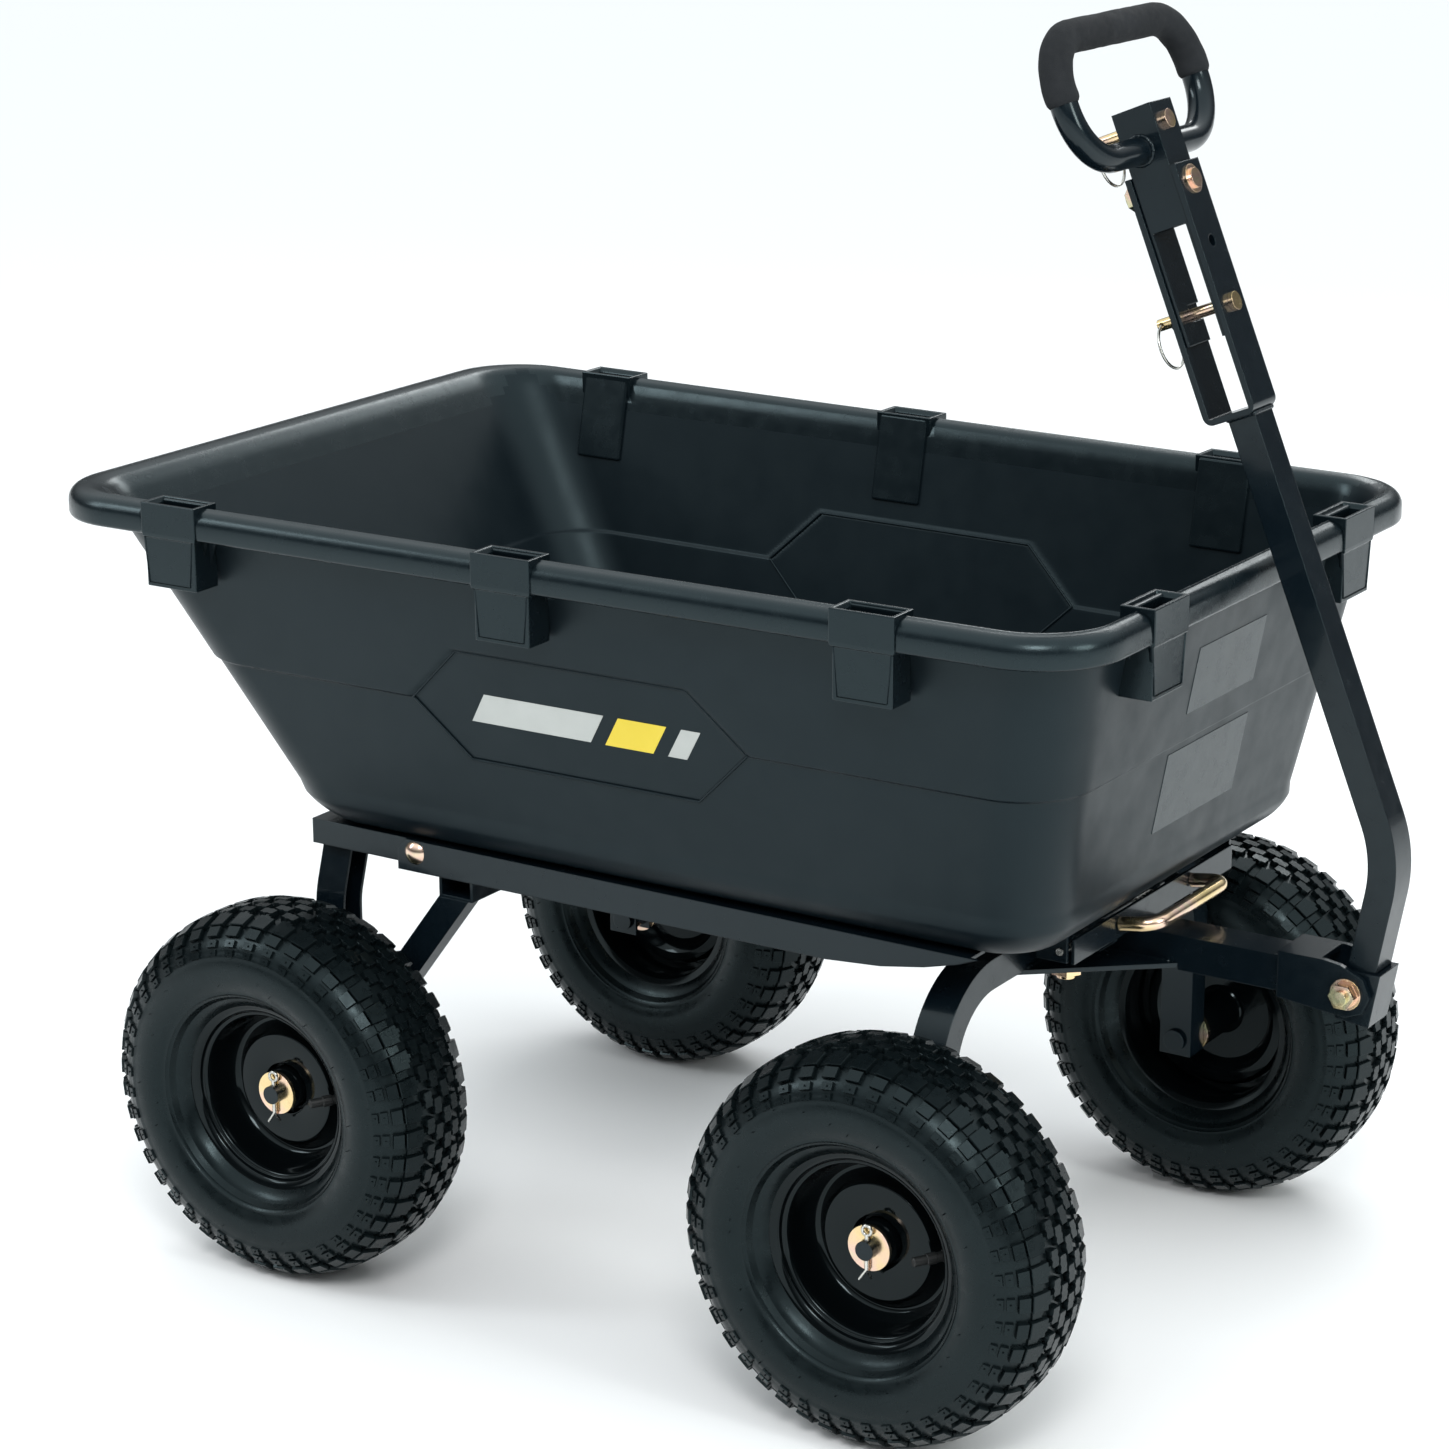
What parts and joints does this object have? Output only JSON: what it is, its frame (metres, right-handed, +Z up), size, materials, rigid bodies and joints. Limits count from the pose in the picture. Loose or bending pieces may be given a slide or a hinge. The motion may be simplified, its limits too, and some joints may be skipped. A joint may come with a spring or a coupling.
{
  "type": "garden dump cart",
  "caption": "Garden cart: moulded tub that tips about the rear axle on a steel chassis, steered front axle, and a pull handle with a folding grip that becomes a tow hitch.",
  "frame": {"origin": "on the ground, below the middle of the cart's length and width", "axes": "+X forward towards the pull handle, +Y to the cart's left, +Z up"},
  "size_m": [1.1228, 0.712, 1.0929],
  "materials": {
    "tub_plastic": "finely textured moulded polyethylene",
    "frame_paint": "glossy black powder coat",
    "rim_paint": "gloss black enamel",
    "tyre_rubber": "satin black rubber",
    "tube_rubber": "matte black rubber",
    "foam": "closed-cell foam, matte",
    "yellow_zinc": "yellow passivated zinc plate",
    "bright_steel": "bright zinc plate"
  },
  "bodies": {
    "chassis": {"chassis_rail_left": "frame_paint", "chassis_rail_right": "frame_paint", "chassis_cross_tube": "frame_paint", "backbone_rails": "frame_paint", "kingpin_plate": "frame_paint", "latch_strike": "frame_paint", "kingpin_bolt": "yellow_zinc", "kingpin_nut": "yellow_zinc", "rear_spindles": "frame_paint", "rear_washers": "yellow_zinc", "rear_cotter_pins": "bright_steel"},
    "bed": {"tub": "tub_plastic", "side_rail_left": "frame_paint", "side_rail_right": "frame_paint", "stub_rails": "frame_paint", "rear_legs": "frame_paint", "bed_straps": "frame_paint", "rail_bolts": "yellow_zinc", "latch_bracket": "frame_paint", "latch_pivot_pin": "bright_steel", "latch_spring": "bright_steel"},
    "latch": {"latch_plate": "frame_paint", "release_handle": "yellow_zinc"},
    "front_axle": {"front_arch": "frame_paint", "tongue": "frame_paint", "hitch_clevis": "frame_paint", "hitch_bolt": "yellow_zinc", "hitch_nut": "yellow_zinc", "front_spindles": "frame_paint", "front_washers": "yellow_zinc", "front_cotter_pins": "bright_steel"},
    "handle": {"handle_tube": "frame_paint", "handle_foot": "frame_paint", "yoke": "frame_paint", "grip_pivot_bolt": "yellow_zinc", "grip_pivot_nut": "yellow_zinc"},
    "grip": {"grip_block": "frame_paint", "grip_loop": "frame_paint", "foam_grip": "foam"},
    "lock_pin": {"lock_pin": "yellow_zinc", "lock_pin_ring": "bright_steel"},
    "tow_pin": {"tow_pin": "yellow_zinc", "tow_pin_ring": "bright_steel"},
    "front_left_wheel": {"front_left_tyre": "tyre_rubber", "front_left_inner_tube": "tube_rubber", "front_left_rim": "rim_paint", "front_left_bearings": "bright_steel"},
    "front_right_wheel": {"front_right_tyre": "tyre_rubber", "front_right_inner_tube": "tube_rubber", "front_right_rim": "rim_paint", "front_right_bearings": "bright_steel"},
    "rear_left_wheel": {"rear_left_tyre": "tyre_rubber", "rear_left_inner_tube": "tube_rubber", "rear_left_rim": "rim_paint", "rear_left_bearings": "bright_steel"},
    "rear_right_wheel": {"rear_right_tyre": "tyre_rubber", "rear_right_inner_tube": "tube_rubber", "rear_right_rim": "rim_paint", "rear_right_bearings": "bright_steel"}
  },
  "joints": [
    {"name": "bed_dump", "type": "hinge", "parent": "chassis", "child": "bed", "pos_m": [-0.3315, 0, 0.165], "axis": [0, -1, 0], "range_deg": [0, 70]},
    {"name": "latch_release", "type": "hinge", "parent": "bed", "child": "latch", "pos_m": [0.336, 0, 0.372], "axis": [0, -1, 0], "range_deg": [0, 25], "stiffness_Nm_per_rad": 1.2, "springref_deg": -28.65},
    {"name": "steer", "type": "hinge", "parent": "chassis", "child": "front_axle", "pos_m": [0.2645, 0, 0.34], "axis": [0, 0, 1], "range_deg": [-15, 15]},
    {"name": "handle_tilt", "type": "hinge", "parent": "front_axle", "child": "handle", "pos_m": [0.5275, 0, 0.336], "axis": [0, 1, 0], "range_deg": [0, 110]},
    {"name": "grip_fold", "type": "hinge", "parent": "handle", "child": "grip", "pos_m": [0.3375, 0, 0.95929], "axis": [-0.9259, 0, -0.3778], "range_deg": [0, 180]},
    {"name": "lock_pin_pull", "type": "slide", "parent": "handle", "child": "lock_pin", "axis": [0.9259, 0, 0.3778], "range_m": [0, 0.1], "deforming": ["lock_pin_ring"]},
    {"name": "tow_pin_pull", "type": "slide", "parent": "grip", "child": "tow_pin", "axis": [0.9259, 0, 0.3778], "range_m": [0, 0.083], "deforming": ["tow_pin_ring"]},
    {"name": "front_left_wheel_spin", "type": "hinge", "parent": "front_axle", "child": "front_left_wheel", "pos_m": [0.2645, 0.297, 0.165], "axis": [0, 1, 0], "continuous": true},
    {"name": "front_right_wheel_spin", "type": "hinge", "parent": "front_axle", "child": "front_right_wheel", "pos_m": [0.2645, -0.297, 0.165], "axis": [0, 1, 0], "continuous": true},
    {"name": "rear_left_wheel_spin", "type": "hinge", "parent": "chassis", "child": "rear_left_wheel", "pos_m": [-0.3315, 0.297, 0.165], "axis": [0, 1, 0], "continuous": true},
    {"name": "rear_right_wheel_spin", "type": "hinge", "parent": "chassis", "child": "rear_right_wheel", "pos_m": [-0.3315, -0.297, 0.165], "axis": [0, 1, 0], "continuous": true}
  ],
  "couplings": [
    {"joint": "lock_pin_pull", "follows": "grip_fold", "m_per_rad": 0.0318},
    {"joint": "tow_pin_pull", "follows": "grip_fold", "m_per_rad": 0.0264}
  ]
}
